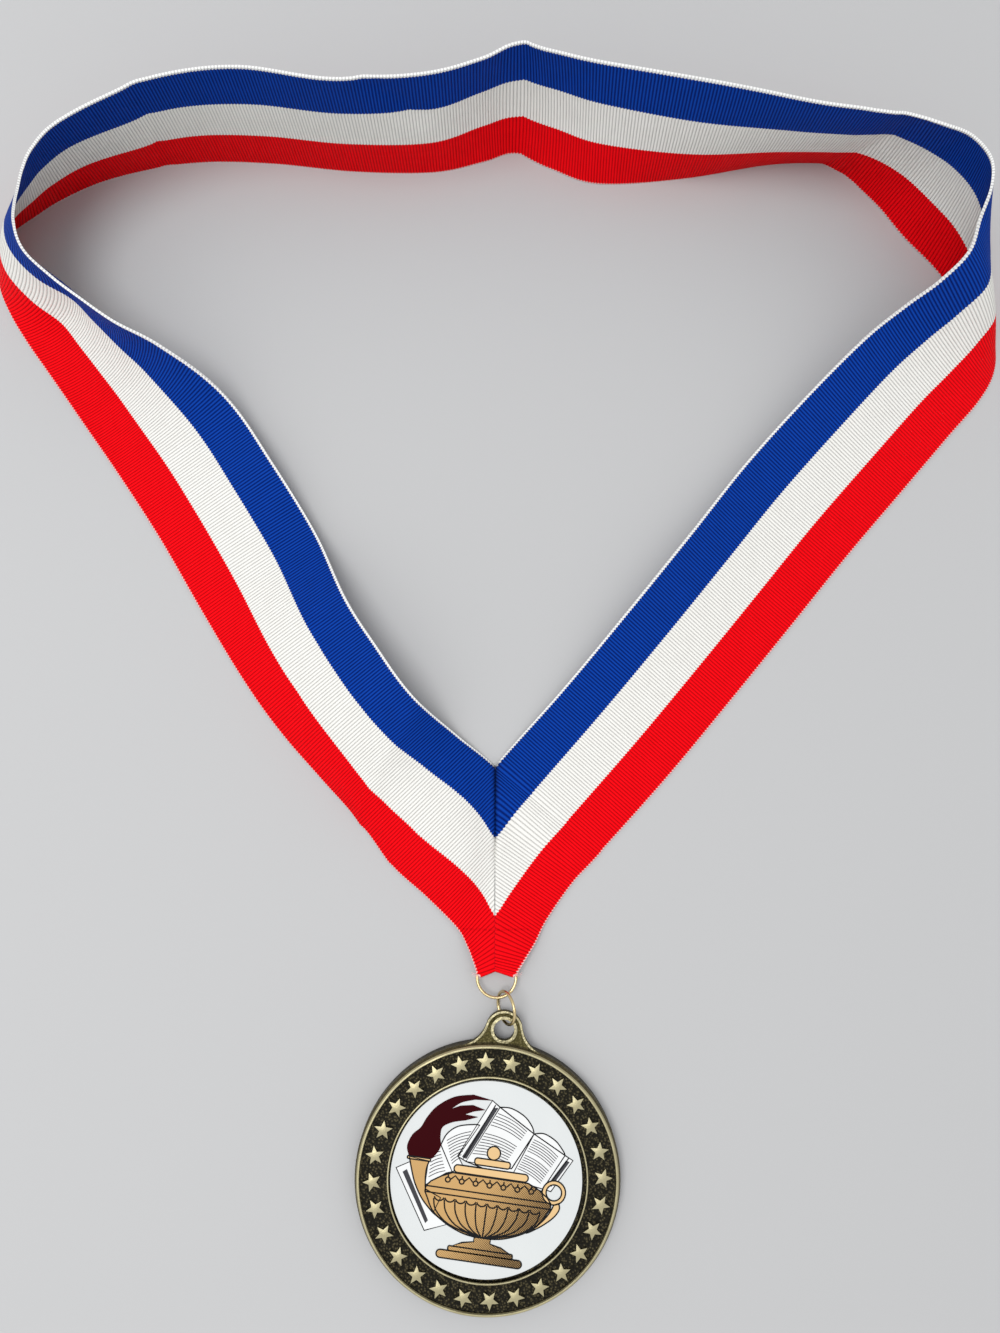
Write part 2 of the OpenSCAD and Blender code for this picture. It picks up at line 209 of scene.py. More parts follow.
# x and y of the red edge on the floor, as shares of LOOP_HALF and of LOOP_LEN above the hem, then the
# reach to the blue edge as shares of RIBBON_W, the bend from edge to edge in degrees and the bulge as a
# share of RIBBON_W
STATIONS = [
    (-0.126, 0.080, 0.74, 0.64, 0, 0),
    (-0.183, 0.114, 0.72, 0.69, 0, 0),
    (-0.242, 0.164, 0.66, 0.62, -65, 0),
    (-0.319, 0.215, 0.67, 0.57, -36, 0),
    (-0.405, 0.274, 0.74, 0.55, -32, 0),
    (-0.476, 0.334, 0.79, 0.51, -20, 0),
    (-0.555, 0.411, 0.84, 0.52, -15, 0),
    (-0.640, 0.498, 0.84, 0.51, 0, 0),
    (-0.724, 0.575, 0.82, 0.51, 20, 0),
    (-0.790, 0.632, 0.69, 0.42, 70, 0),
    (-0.835, 0.671, 0.59, 0.30, 95, 0),
    (-0.877, 0.707, 0.52, 0.23, 105, 0),
    (-0.913, 0.738, 0.48, 0.17, 110, 0),
    (-0.946, 0.772, 0.47, 0.09, 80, 0.05),
    (-0.970, 0.808, 0.52, 0.03, 25, 0.05),
    (-0.972, 0.844, 0.53, -0.06, -5, 0.02),
    (-0.952, 0.876, 0.48, -0.17, 0, 0.01),
    (-0.905, 0.899, 0.36, -0.20, 0, 0),
    (-0.856, 0.919, 0.25, -0.21, 0, 0),
    (-0.780, 0.941, 0.12, -0.20, 0, 0),
    (-0.685, 0.957, 0.06, -0.14, 0, -0.01),
    (-0.570, 0.967, 0.02, -0.05, 0, 0),
    (-0.430, 0.965, 0.00, 0.02, 0, -0.01),
    (-0.270, 0.955, 0.00, 0.00, 0, 0),
    (-0.110, 0.954, 0.00, 0.04, 0, 0),
    (-0.010, 0.967, 0.00, 0.06, 0, 0.04),
    (0.050, 0.977, 0.00, 0.10, 0, 0.03),
    (0.125, 0.958, -0.05, 0.18, 0, 0.05),
    (0.220, 0.939, -0.05, 0.22, 0, 0.03),
    (0.390, 0.946, 0.00, 0.04, 0, -0.04),
    (0.555, 0.963, 0.00, -0.18, 0, -0.05),
    (0.655, 0.965, 0.01, -0.24, 0, -0.04),
    (0.702, 0.955, 0.00, -0.21, 0, 0),
    (0.726, 0.945, -0.02, -0.16, 0, 0.03),
    (0.750, 0.930, -0.02, -0.10, 0, 0.06),
    (0.785, 0.907, 0.02, -0.02, 0, 0.07),
    (0.830, 0.871, 0.02, 0.13, 0, 0.07),
    (0.887, 0.834, -0.07, 0.22, 0, 0.06),
    (0.930, 0.800, -0.21, 0.27, -15, 0.04),
    (0.972, 0.770, -0.40, 0.29, -35, 0),
    (1.000, 0.735, -0.54, 0.32, -30, 0),
    (0.996, 0.699, -0.66, 0.40, 5, 0),
    (0.965, 0.665, -0.72, 0.50, 20, 0),
    (0.905, 0.623, -0.73, 0.58, 20, 0),
    (0.809, 0.555, -0.75, 0.62, 12, 0),
    (0.700, 0.478, -0.76, 0.63, 10, 0),
    (0.590, 0.396, -0.75, 0.63, 18, 0),
    (0.465, 0.304, -0.74, 0.63, 18, 0),
    (0.343, 0.216, -0.73, 0.63, 16, 0),
    (0.210, 0.127, -0.72, 0.62, 0, 0),
    (0.157, 0.094, -0.77, 0.52, 0, 0),
]
# The mitred front from the hem up to the notch: outer left x and y, seam y, outer right x and y as shares
# of RIBBON_W from the hem's middle, the lifts of left, seam and right, how much of the width is left at
# the seam, and how high the left arm arches as a share of RIBBON_W
FRONT = [
    (-0.11, -0.10, -0.12, 0.12, -0.14, 1.00, 1.00, 1.00, 0.02, 0.00),
    (-0.125, -0.04, 0.00, 0.155, -0.04, 1.00, 0.94, 1.00, 0.09, 0.00),
    (-0.145, 0.03, 0.12, 0.215, 0.06, 0.93, 0.78, 0.93, 0.17, 0.00),
    (-0.195, 0.15, 0.34, 0.285, 0.17, 0.52, 0.46, 0.54, 0.33, 0.00),
    (-0.27, 0.27, 0.57, 0.365, 0.32, 0.20, 0.24, 0.20, 0.47, 0.00),
    (-0.48, 0.48, 0.96, 0.545, 0.57, 0.04, 0.12, 0.04, 0.72, 0.10),
    (-0.715, 0.69, 1.38, 0.735, 0.77, 0.00, 0.05, 0.00, 1.00, 0.15),
    (-0.95, 0.99, 1.78, 1.21, 1.30, 0.00, 0.05, 0.00, 1.30, 0.20),
]
ACROSS = 28
LOOP_STEPS = 9
FRONT_STEPS = 8
# Stations over which the arms come down to the height of the front
SETTLE = 3
# Air between the cloth and the wire, and half the distance between the two layers of the tip
AIR = 0.12
FOLD_R = (WIRE_D + CLOTH_T) / 2 + AIR
TIP_BACK = 10
TURN_STEPS = 12
BACK_STEPS = 8
# How strongly the points crowd to the seam, an arched row draws to its middle and the tip narrows in its turn
CROWDING = 1.6
ARCH_PULL = 1.6
SQUEEZE_PACE = 1.6


def ring_plane(y):
    return RING_AT[2] - (y - RING_AT[1]) * math.tan(RING_TILT)


def refine(table, count):
    """Rows of a table joined by smooth curves in count steps. The first and the last row only steer."""
    t = np.array(table, float)
    last = len(t) - 2
    rows = []
    for i in range(1, last):
        p0, p1, p2, p3 = t[i - 1], t[i], t[i + 1], t[i + 2]
        for k in range(count):
            s = k / count
            bend = 2 * p0 - 5 * p1 + 4 * p2 - p3 + s * (3 * p1 - p0 - 3 * p2 + p3)
            rows.append(p1 + 0.5 * s * ((p2 - p0) + s * bend))
    rows.append(t[last])
    return np.array(rows)


def eased(x, low, high):
    t = np.clip((x - low) / (high - low), 0, 1)
    return t * t * (3 - 2 * t)


def drawn(arch, s):
    """How far a point of an arched row is drawn from the row's middle, as a share of the row."""
    return ARCH_PULL * arch * np.sin(2 * math.pi * s) / (2 * math.pi)


def shoulder(gap, raised):
    """Height of the soft shoulder beside the seam, at a distance from the seam in mm."""
    return raised * 1.1 * (np.exp(-((gap / 4.0) ** 2)) - np.exp(-((gap / 0.7) ** 2)))


def ribbon_rows():
    """Middle of the cloth as rows across it, each point's share of the width and each row's mm along."""
    fine = refine(STATIONS, LOOP_STEPS)
    feet = np.stack([fine[:, 0] * LOOP_HALF, HEM_Y + fine[:, 1] * LOOP_LEN], 1)
    along = np.gradient(feet, axis=0)
    along /= np.linalg.norm(along, axis=1)[:, None]
    front = refine(FRONT, FRONT_STEPS)
    hem_lift = ring_plane(HEM_Y + FRONT[1][1] * RIBBON_W) + FOLD_R - CLOTH_T / 2
    even = np.linspace(0, 1, ACROSS + 1)
    crowded = 1 - (1 - even) ** CROWDING
    rows, widths = [], []

    def front_row(row, side):
        x, y, lift = (row[0], row[1], row[5]) if side < 0 else (row[3], row[4], row[7])
        outer = np.array([SEAM_X + x * RIBBON_W, HEM_Y + y * RIBBON_W, CLOTH_T / 2 + lift * hem_lift])
        seam = np.array([SEAM_X, HEM_Y + row[2] * RIBBON_W, CLOTH_T / 2 + row[6] * hem_lift])
        arch = row[9] if side < 0 else 0
        p = outer + (seam - outer) * (crowded - drawn(arch, crowded))[:, None]
        p[:, 2] += arch * RIBBON_W * np.sin(math.pi * crowded)
        gap = np.linalg.norm(seam - outer) * (1 - crowded)
        p[:, 2] += shoulder(gap, 0.15 + 0.85 * eased(row[8], 0.50, 0.70))
        return p, crowded * row[8]

    def section_row(i, crowd, kept, raised):
        s = even + (crowded - even) * crowd
        rx, ry, curl, bulge = fine[i][2], fine[i][3], math.radians(fine[i][4]), fine[i][5]
        reach = max(math.hypot(rx, ry), 0.001)
        way = np.array([rx, ry]) / reach
        curl = curl if abs(curl) > 1e-3 else 1e-3
        rise = math.acos(min(reach / (math.sin(curl / 2) / (curl / 2)), 1))
        low = rise - curl / 2
        out = (np.sin(low + curl * s) - math.sin(low)) / curl * RIBBON_W
        up = (math.cos(low) - np.cos(low + curl * s)) / curl * RIBBON_W
        b = 4 * bulge * RIBBON_W * s * (1 - s)
        arch = front[-1][9] * (1 - kept) if i < len(fine) / 2 else 0
        out = out - RIBBON_W * drawn(arch, s)
        x = feet[i][0] + out * way[0] - b * along[i][1]
        y = feet[i][1] + out * way[1] + b * along[i][0]
        z = up * kept + CLOTH_T / 2 * max(0, math.cos(low)) + shoulder((1 - s) * RIBBON_W, raised)
        z += arch * RIBBON_W * np.sin(math.pi * s)
        return np.stack([x, y, z], 1), s

    for row in front:
        p, w = front_row(row, -1)
        rows.append(p)
        widths.append(w)
    n = len(fine)
    for i in range(1, n - 1):
        far = min(i, n - 1 - i)
        crowd = 1 - eased(far, 1, 2 * LOOP_STEPS)
        p, w = section_row(i, crowd, eased(far, 0, SETTLE * LOOP_STEPS), 1 - eased(far, 0, LOOP_STEPS))
        rows.append(p)
        widths.append(w)
    for row in front[::-1]:
        p, w = front_row(row, 1)
        rows.append(p)
        widths.append(w)
    rows, widths = np.array(rows), np.array(widths)
    m = len(front)
    step = np.linalg.norm(np.diff(rows, axis=0), axis=2)
    place = np.arange(len(step))
    in_front = (place < m) | (place >= len(step) - m)
    gain = np.where(in_front, step[:, 0], (step[:, 0] + step[:, -1]) / 2)
    lengths = np.concatenate([[0], np.cumsum(gain)])
    return rows, widths, lengths, m


def sheet_normals(rows, m):
    n = len(rows)
    across = np.gradient(rows, axis=1)
    travel = np.gradient(rows, axis=0)
    normal = np.cross(across, travel)
    normal /= np.maximum(np.linalg.norm(normal, axis=2), 1e-9)[:, :, None]
    normal[0] = normal[-1] = (0, 0, 1)
    normal[:m, -1] = normal[n - m:, -1] = (0, 0, 1)
    return normal


# Creases and soft folds, each from one place on the cloth to another: mm along the ribbon from its left
# hem and the share of the width, then the crease's height off the cloth and its width in mm
CREASES = [
    ((65, 1.0), (51, 0.0), 0.9, 2.2),
    ((74, 0.62), (58, 0.38), -0.5, 1.2),
    ((98, 0.80), (84, 0.1), -0.35, 3.0),
    ((289, 1.0), (285, 0.0), 0.6, 2.0),
    ((346, 0.97), (357, 0.62), 1.0, 3.0),
    ((386, 1.0), (385, 0.0), 0.7, 1.6),
    ((485, 0.9), (472, 0.0), 0.5, 2.5),
]


def add_creases(rows, widths, lengths, normal):
    """Push the cloth out along each crease."""
    place = np.stack([np.broadcast_to(lengths[:, None], widths.shape), widths * RIBBON_W], 2)
    for (l0, u0), (l1, u1), height, wide in CREASES:
        a = np.array([l0, u0 * RIBBON_W])
        d = np.array([l1, u1 * RIBBON_W]) - a
        span = np.linalg.norm(d)
        d /= span
        q = place - a
        t = q @ d
        off = np.abs(q[..., 0] * d[1] - q[..., 1] * d[0])
        fade = eased(t, -6, 2) * (1 - eased(t, span - 2, span + 6))
        rows = rows + (height * np.exp(-off / wide) * fade)[..., None] * normal
    return rows


def make_ribbon(material):
    rows, widths, lengths, m = ribbon_rows()
    n = len(rows)
    normal = sheet_normals(rows, m)
    rows = add_creases(rows, widths, lengths, normal)
    half = CLOTH_T / 2
    # The cloth round the loop stands on the floor, and the front stays above it
    lowest = (rows[..., 2] - half * np.abs(normal[..., 2])).min(axis=1)
    middle = (np.arange(n) >= m) & (np.arange(n) < n - m)
    rows[..., 2] += np.where(middle, -lowest, np.maximum(0, -lowest))[:, None]

    # The tip turns down round the ring's wire, inside the ring, and runs back behind the front
    hem = np.concatenate([rows[0], rows[-1][-2::-1]])
    hem_u = np.concatenate([widths[0], widths[-1][-2::-1]])
    middle_x = (hem[0, 0] + hem[-1, 0]) / 2
    inside = RING_R - WIRE_D / 2 - 3 * AIR
    shrink = 1 - inside / ((hem[-1, 0] - hem[0, 0]) / 2)
    tips, tip_normals, tip_lengths = [], [], []
    for p in range(1, TURN_STEPS + BACK_STEPS + 1):
        turn = math.pi * min(p / TURN_STEPS, 1)
        back = max(p - TURN_STEPS, 0) / BACK_STEPS * TIP_BACK
        narrow = 1 - shrink * min(1, SQUEEZE_PACE * math.sin(turn))
        x = middle_x + (hem[:, 0] - middle_x) * narrow
        y = hem[:, 1] - FOLD_R * math.sin(turn) + back
        z = np.maximum([ring_plane(v) + FOLD_R * math.cos(turn) for v in hem[:, 1] + back], half + 0.01)
        tips.append(np.stack([x, y, z], 1))
        tip_normals.append(np.broadcast_to((0, -math.sin(turn), math.cos(turn)), (len(hem), 3)))
        tip_lengths.append(-(FOLD_R * turn + back))
    tips, tip_normals = np.array(tips), np.array(tip_normals)

    middle_points = np.concatenate([rows.reshape(-1, 3), tips.reshape(-1, 3)])
    normals = np.concatenate([normal.reshape(-1, 3), tip_normals.reshape(-1, 3)])
    face, under = middle_points + half * normals, middle_points - half * normals
    points = np.concatenate([face, under]) * MM
    shift = len(face)
    cols = ACROSS + 1
    uv = {}

    def at(i, j):
        k = (n - 1 - i) * cols + j if j == ACROSS and i >= n - m else i * cols + j
        return k, (widths[i][j], lengths[i] / RIBBON_W)

    def tip(p, q):
        if p == 0:
            i, j = (0, q) if q <= ACROSS else (n - 1, 2 * ACROSS - q)
            return at(i, j)[0], (hem_u[q], 0.0)
        return n * cols + (p - 1) * len(hem) + q, (hem_u[q], tip_lengths[p - 1] / RIBBON_W)

    faces, corners = [], []

    def add(*ring, flip=False, both=True):
        order = ring[::-1]
        faces.append([k for k, _ in order])
        corners.extend(c for _, c in order)
        if both:
            faces.append([k + shift for k, _ in ring])
            corners.extend(c for _, c in ring)

    def wall(a, b):
        faces.append([a[0], b[0], b[0] + shift, a[0] + shift][::-1])
        corners.extend([a[1], b[1], b[1], a[1]][::-1])

    for i in range(n - 1):
        for j in range(ACROSS):
            add(at(i, j), at(i + 1, j), at(i + 1, j + 1), at(i, j + 1))
        wall(at(i + 1, 0), at(i, 0))
        if m - 1 <= i <= n - m - 1:
            wall(at(i, ACROSS), at(i + 1, ACROSS))
    last = len(tips)
    for p in range(last):
        for q in range(2 * ACROSS):
            add(tip(p, q), tip(p, q + 1), tip(p + 1, q + 1), tip(p + 1, q))
        wall(tip(p, 0), tip(p + 1, 0))
        wall(tip(p + 1, 2 * ACROSS), tip(p, 2 * ACROSS))
    for q in range(2 * ACROSS):
        wall(tip(last, q), tip(last, q + 1))

    mesh = bpy.data.meshes.new("ribbon_cloth")
    mesh.from_pydata(points.tolist(), [], faces)
    layer = mesh.uv_layers.new(name="weave")
    layer.data.foreach_set("uv", np.array(corners, np.float32).ravel())

    # How strongly painted shade darkens a point in the hollow of the seam where the two arms meet
    depth = np.zeros(len(middle_points))
    for i in list(range(m)) + list(range(n - m, n)):
        near = np.linalg.norm(rows[i] - rows[i][-1], axis=1)
        share = widths[i][-1]
        in_white, in_blue = eased(share, 0.3, 0.36), eased(share, 0.63, 0.69)
        strong = 0.3 + 0.35 * in_white + 0.35 * in_blue
        wide = 0.22 + 0.6 * in_blue + 0.6 * eased(share, 0.75, 1.0)
        for j in range(cols):
            k = at(i, j)[0]
            depth[k] = max(depth[k], strong * math.exp(-((near[j] / wide) ** 2)))
    crevice_shade = mesh.attributes.new("crevice_shade", "FLOAT", "POINT")
    crevice_shade.data.foreach_set("value", np.concatenate([depth, depth * 0.3]).astype(np.float32))
    mesh.materials.append(material)
    mesh.validate()
    piece = bpy.data.objects.new("ribbon_cloth", mesh)
    bpy.context.scene.collection.objects.link(piece)
    select_only(piece)
    bpy.ops.object.shade_smooth_by_angle(angle=math.radians(50))
    return piece


# Grosgrain cloth

# Where the row of stitches lies along Y, in millimetres
STITCH_Y = 62.7


def stitch_row(tree):
    """Mask of the row of stitches that holds the tip behind the front."""
    x, y, _ = split(tree, object_place(tree))
    off = maths(tree, "ABSOLUTE", maths(tree, "SUBTRACT", y, STITCH_Y * MM))
    line = smooth(tree, off, 0.30 * MM, 0.12 * MM)
    beat = maths(tree, "FRACT", maths(tree, "DIVIDE", x, 1.7 * MM))
    dash = smooth(tree, maths(tree, "ABSOLUTE", maths(tree, "SUBTRACT", beat, 0.5)), 0.40, 0.34)
    aside = maths(tree, "ABSOLUTE", maths(tree, "SUBTRACT", x, SEAM_X * MM))
    reach = smooth(tree, aside, 9.0 * MM, 8.8 * MM)
    return maths(tree, "MULTIPLY", maths(tree, "MULTIPLY", line, dash), reach)


def grosgrain_material():
    material, tree, shader = new_material("grosgrain_stripes")
    uv = tree.nodes.new("ShaderNodeUVMap")
    uv.uv_map = "weave"
    u, v, _ = split(tree, uv.outputs["UV"])
    phase = maths(tree, "MULTIPLY", v, RIBBON_W / RIB)
    across_mm = maths(tree, "MULTIPLY", u, RIBBON_W)
    length_mm = maths(tree, "MULTIPLY", v, RIBBON_W)
    cloth = tree.nodes.new("ShaderNodeCombineXYZ")
    feed(tree, cloth.inputs[0], across_mm)
    feed(tree, cloth.inputs[1], length_mm)
    cloth = cloth.outputs[0]

    # Round cords of weft with narrow grooves between them
    cord = maths(tree, "ABSOLUTE", maths(tree, "SINE", maths(tree, "MULTIPLY", phase, math.pi)))
    cord = maths(tree, "POWER", cord, 0.6)
    # Fine warp ends that cross the cords
    warp = maths(tree, "SINE", maths(tree, "MULTIPLY", across_mm, 2 * math.pi / 0.24))
    warp = maths(tree, "MULTIPLY_ADD", warp, 0.5, 0.5)
    fuzz = noise(tree, cloth, 9.0, 3.0, 0.6)
    slub = noise(tree, cloth, 0.25, 2.0, 0.5)

    # Stripe borders step in and out with each cord
    step = maths(tree, "SINE", maths(tree, "MULTIPLY", phase, 2 * math.pi))
    edge = maths(tree, "MULTIPLY_ADD", step, 0.0035, u)
    red = mix(tree, slub, (0.88, 0.001, 0.006, 1), (0.76, 0.001, 0.004, 1))
    white = mix(tree, slub, (0.82, 0.81, 0.765, 1), (0.76, 0.745, 0.70, 1))
    blue = mix(tree, slub, (0.001, 0.030, 0.29, 1), (0.001, 0.022, 0.21, 1))
    # Painted highlight: the tops of the blue cords are painted a lighter blue
    blue = mix(tree, smooth(tree, cord, 0.80, 1.0, 0.0, 0.55), blue, (0.004, 0.070, 0.40, 1))
    past_red = smooth(tree, edge, 0.333, 0.337)
    past_white = smooth(tree, edge, 0.660, 0.664)
    colour = mix(tree, past_red, red, white)
    colour = mix(tree, past_white, colour, blue)
    selvedge = smooth(tree, edge, 0.983, 0.987)
    colour = mix(tree, selvedge, colour, (0.84, 0.84, 0.82, 1))
    thread = smooth(tree, edge, 0.008, 0.004)
    colour = mix(tree, maths(tree, "MULTIPLY", thread, 0.75), colour, (0.80, 0.62, 0.60, 1))

    # Pin-holes between the loops of the selvedge
    hole_u = maths(tree, "DIVIDE", maths(tree, "SUBTRACT", u, 0.984), 0.0035)
    hole_v = maths(tree, "DIVIDE", maths(tree, "SUBTRACT", maths(tree, "FRACT", phase), 0.5), 0.20)
    hole = maths(tree, "ADD", maths(tree, "MULTIPLY", hole_u, hole_u), maths(tree, "MULTIPLY", hole_v, hole_v))
    hole = smooth(tree, hole, 1.2, 0.4)
    colour = mix(tree, maths(tree, "MULTIPLY", hole, 0.20), colour, (0.02, 0.03, 0.07, 1))

    # Painted shade: grooves are darkened, deeper in the dark stripes than in the white one, and the hollow of
    # the seam is darkened too
    pale = maths(tree, "SUBTRACT", past_red, past_white)
    low = maths(tree, "MULTIPLY_ADD", pale, 0.17, maths(tree, "MULTIPLY_ADD", past_white, -0.10, 0.58))
    low = maths(tree, "MULTIPLY_ADD", selvedge, 0.40, low)
    groove_shade = smooth(tree, cord, 0.20, 0.95, low, 1.0)
    fine = maths(tree, "MULTIPLY_ADD", maths(tree, "MULTIPLY", warp, fuzz), 0.16, 0.92)
    shade = tree.nodes.new("ShaderNodeCombineColor")
    level = maths(tree, "MULTIPLY", groove_shade, fine)
    for k in range(3):
        feed(tree, shade.inputs[k], level)
    colour = mix(tree, 1.0, colour, shade.outputs[0], "MULTIPLY")
    stitch = stitch_row(tree)
    colour = mix(tree, maths(tree, "MULTIPLY", stitch, 0.25), colour, (0.30, 0.001, 0.004, 1))
    # Painted shade: near-black mixed in along the hollow of the seam, by the amount stored on the mesh
    crevice_shade = tree.nodes.new("ShaderNodeAttribute")
    crevice_shade.attribute_name = "crevice_shade"
    dark = maths(tree, "MULTIPLY", crevice_shade.outputs["Fac"], 0.92, clamp=True)
    colour = mix(tree, dark, colour, (0.004, 0.005, 0.012, 1))
    feed(tree, shader.inputs["Base Color"], colour)
    feed(tree, shader.inputs["Roughness"], maths(tree, "MULTIPLY_ADD", fuzz, 0.16, 0.52))
    shader.inputs["Specular IOR Level"].default_value = 0.04
    height = maths(tree, "ADD", cord, maths(tree, "MULTIPLY", maths(tree, "MULTIPLY", warp, 0.10), fuzz))
    height = maths(tree, "ADD", height, maths(tree, "MULTIPLY", fuzz, 0.12))
    height = maths(tree, "SUBTRACT", height, maths(tree, "MULTIPLY", hole, 0.4))
    height = maths(tree, "MULTIPLY_ADD", stitch, -0.4, height)
    feed(tree, shader.inputs["Normal"], bump(tree, height, 0.00028, 0.9))
    return material


GROSGRAIN = grosgrain_material()
ribbon_cloth = make_ribbon(GROSGRAIN)
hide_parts("ribbon")
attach(ribbon_cloth, "root")


def hem_tufts():
    """Frayed threads at both corners of the hem, beside the ring's wire."""
    bpy.ops.object.select_all(action="DESELECT")
    bpy.ops.curve.primitive_bezier_circle_add(radius=MM)
    tuft = bpy.context.object
    tuft.name = "frayed_hem"
    curve = tuft.data
    curve.dimensions = "3D"
    curve.bevel_depth = 0.045 * MM
    curve.bevel_resolution = 1
    curve.use_fill_caps = True
    curve.splines.clear()
    corner_y = HEM_Y + FRONT[1][1] * RIBBON_W
    for side, x in ((-1, SEAM_X + FRONT[1][0] * RIBBON_W), (1, SEAM_X + FRONT[1][3] * RIBBON_W)):
        z = ring_plane(corner_y) + FOLD_R
        for k in range(11):
            turn = math.radians(-115 + 13 * k)
            length = 1.5 + 0.45 * math.sin(2.6 * k)
            thread = curve.splines.new("POLY")
            thread.points.add(4)
            for p in range(5):
                t = p / 4
                bend = turn + 0.5 * math.sin(1.7 * k) * t
                out = length * t
                at = (x + side * (out * math.cos(bend) - 0.5), corner_y + out * math.sin(bend) * 0.7,
                      z + 0.25 * math.sin(3 * t + k) - 0.5 * t * t)
                thread.points[p].co = (at[0] * MM, at[1] * MM, at[2] * MM, 1)
    bpy.ops.object.convert(target="MESH")
    return bpy.context.object


def frayed_thread_material():
    material, tree, shader = new_material("frayed_thread")
    varied = place_group(tree, VARIATION, Place=object_place(tree), Patch_size=900.0, Grain_size=6000.0)
    colour = mix(tree, varied["Patch"], (0.82, 0.30, 0.30, 1), (0.84, 0.72, 0.70, 1))
    feed(tree, shader.inputs["Base Color"], colour)
    feed(tree, shader.inputs["Roughness"], maths(tree, "MULTIPLY_ADD", varied["Grain"], 0.2, 0.6))
    feed(tree, shader.inputs["Normal"], bump(tree, varied["Grain"], 0.00001, 0.4))
    return material


frayed_hem = hem_tufts()
frayed_hem.data.materials.append(frayed_thread_material())
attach(frayed_hem, "root")

# Casting


def antique_brass_material():
    """Dark in the hollows and rubbed bright on what stands up, by height above each field of the casting."""
    material, tree, shader = new_material("antique_brass")
    place = object_place(tree)
    x, y, z = split(tree, place)
    flat = tree.nodes.new("ShaderNodeVectorMath")
    flat.operation = "MULTIPLY"
    feed(tree, flat.inputs[0], place)
    flat.inputs[1].default_value = (1, 1, 0)
    length = tree.nodes.new("ShaderNodeVectorMath")
    length.operation = "LENGTH"
    feed(tree, length.inputs[0], flat.outputs[0])
    r = length.outputs["Value"]
    varied = place_group(tree, VARIATION, Place=place, Patch_size=260.0, Grain_size=2600.0)
    grain = varied["Grain"]
    patch = varied["Patch"]

    rim = smooth(tree, r, 0.0337, 0.0340)
    band_up = smooth(tree, z, 4.30 * MM, 4.72 * MM)
    loop_up = smooth(tree, z, 3.90 * MM, 4.08 * MM)
    outside = smooth(tree, r, 0.03426, 0.0344)
    up = mix(tree, outside, band_up, loop_up)
    side = smooth(tree, z, 0.3 * MM, 4.4 * MM, 0.06, 0.22)
    up = mix(tree, maths(tree, "MULTIPLY", rim, maths(tree, "SUBTRACT", 1.0, outside)), up, side)

    # The loop's sunk field keeps more brass than the starred band
    deep = mix(tree, outside, (0.010, 0.009, 0.006, 1), (0.070, 0.060, 0.020, 1))
    warm = mix(tree, patch, (0.20, 0.165, 0.075, 1), (0.13, 0.105, 0.045, 1))
    bright = mix(tree, patch, (0.45, 0.41, 0.25, 1), (0.34, 0.30, 0.17, 1))
    uneven = maths(tree, "MULTIPLY", maths(tree, "SUBTRACT", grain, 0.5), 0.35)
    worn = maths(tree, "ADD", up, uneven, clamp=True)
    colour = mix(tree, smooth(tree, worn, 0.0, 0.45), deep, warm)
    colour = mix(tree, smooth(tree, worn, 0.45, 0.95), colour, bright)

    # Pebbles in the starred band
    pebble = cells(tree, place, 1500.0)
    in_band = maths(tree, "SUBTRACT", 1.0, smooth(tree, z, 4.22 * MM, 4.30 * MM))
    pebble_top = maths(tree, "MULTIPLY", smooth(tree, pebble, 0.55, 0.15), in_band)
    colour = mix(tree, maths(tree, "MULTIPLY", pebble_top, 0.20), colour, (0.30, 0.25, 0.12, 1))
    feed(tree, shader.inputs["Base Color"], colour)
    shader.inputs["Metallic"].default_value = 0.9
    rough = maths(tree, "MULTIPLY_ADD", grain, 0.16, 0.46)
    feed(tree, shader.inputs["Roughness"], maths(tree, "MULTIPLY_ADD", up, -0.10, rough))
    pits = maths(tree, "MULTIPLY", pebble, in_band)
    height = maths(tree, "MULTIPLY_ADD", pits, -1.0, maths(tree, "MULTIPLY", grain, 0.22))
    feed(tree, shader.inputs["Normal"], bump(tree, height, 0.00022, 0.8))
    return material


def dressed_copy(node, name, bevel):
    """A merged copy of a casting with its corners softened."""
    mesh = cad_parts[node].data.copy()
    mesh.name = name
    mesh.materials.clear()
    piece = bpy.data.objects.new(name, mesh)
    bpy.context.scene.collection.objects.link(piece)
    select_only(piece)
    bpy.ops.object.mode_set(mode="EDIT")
    bpy.ops.mesh.select_all(action="SELECT")
    bpy.ops.mesh.remove_doubles(threshold=2e-6)
    bpy.ops.mesh.dissolve_limited(angle_limit=math.radians(0.6))
    bpy.ops.object.mode_set(mode="OBJECT")
    soft = piece.modifiers.new("soft_corners", "BEVEL")
    soft.width = bevel
    soft.segments = 2
    soft.limit_method = "ANGLE"
    soft.angle_limit = math.radians(28)
    soft.use_clamp_overlap = True
    bpy.ops.object.modifier_apply(modifier=soft.name)
    bpy.ops.object.shade_smooth_by_angle(angle=math.radians(32))
    return piece


ANTIQUE_BRASS = antique_brass_material()
medal_casting = dressed_copy("medal", "medal_casting", 0.10 * MM)
medal_casting.data.materials.append(ANTIQUE_BRASS)
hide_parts("medal")
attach(medal_casting, "root")

# Rings and printed disc


def ring_wire_material():
    material, tree, shader = new_material("ring_wire")
    place = object_place(tree)
    varied = place_group(tree, VARIATION, Place=place, Patch_size=420.0, Grain_size=5200.0)
    colour = mix(tree, varied["Patch"], (0.66, 0.54, 0.31, 1), (0.48, 0.37, 0.18, 1))
    feed(tree, shader.inputs["Base Color"], colour)
    shader.inputs["Metallic"].default_value = 1.0
    feed(tree, shader.inputs["Roughness"], maths(tree, "MULTIPLY_ADD", varied["Patch"], 0.22, 0.14))
    feed(tree, shader.inputs["Normal"], bump(tree, varied["Grain"], 0.00002, 0.5))
    return material


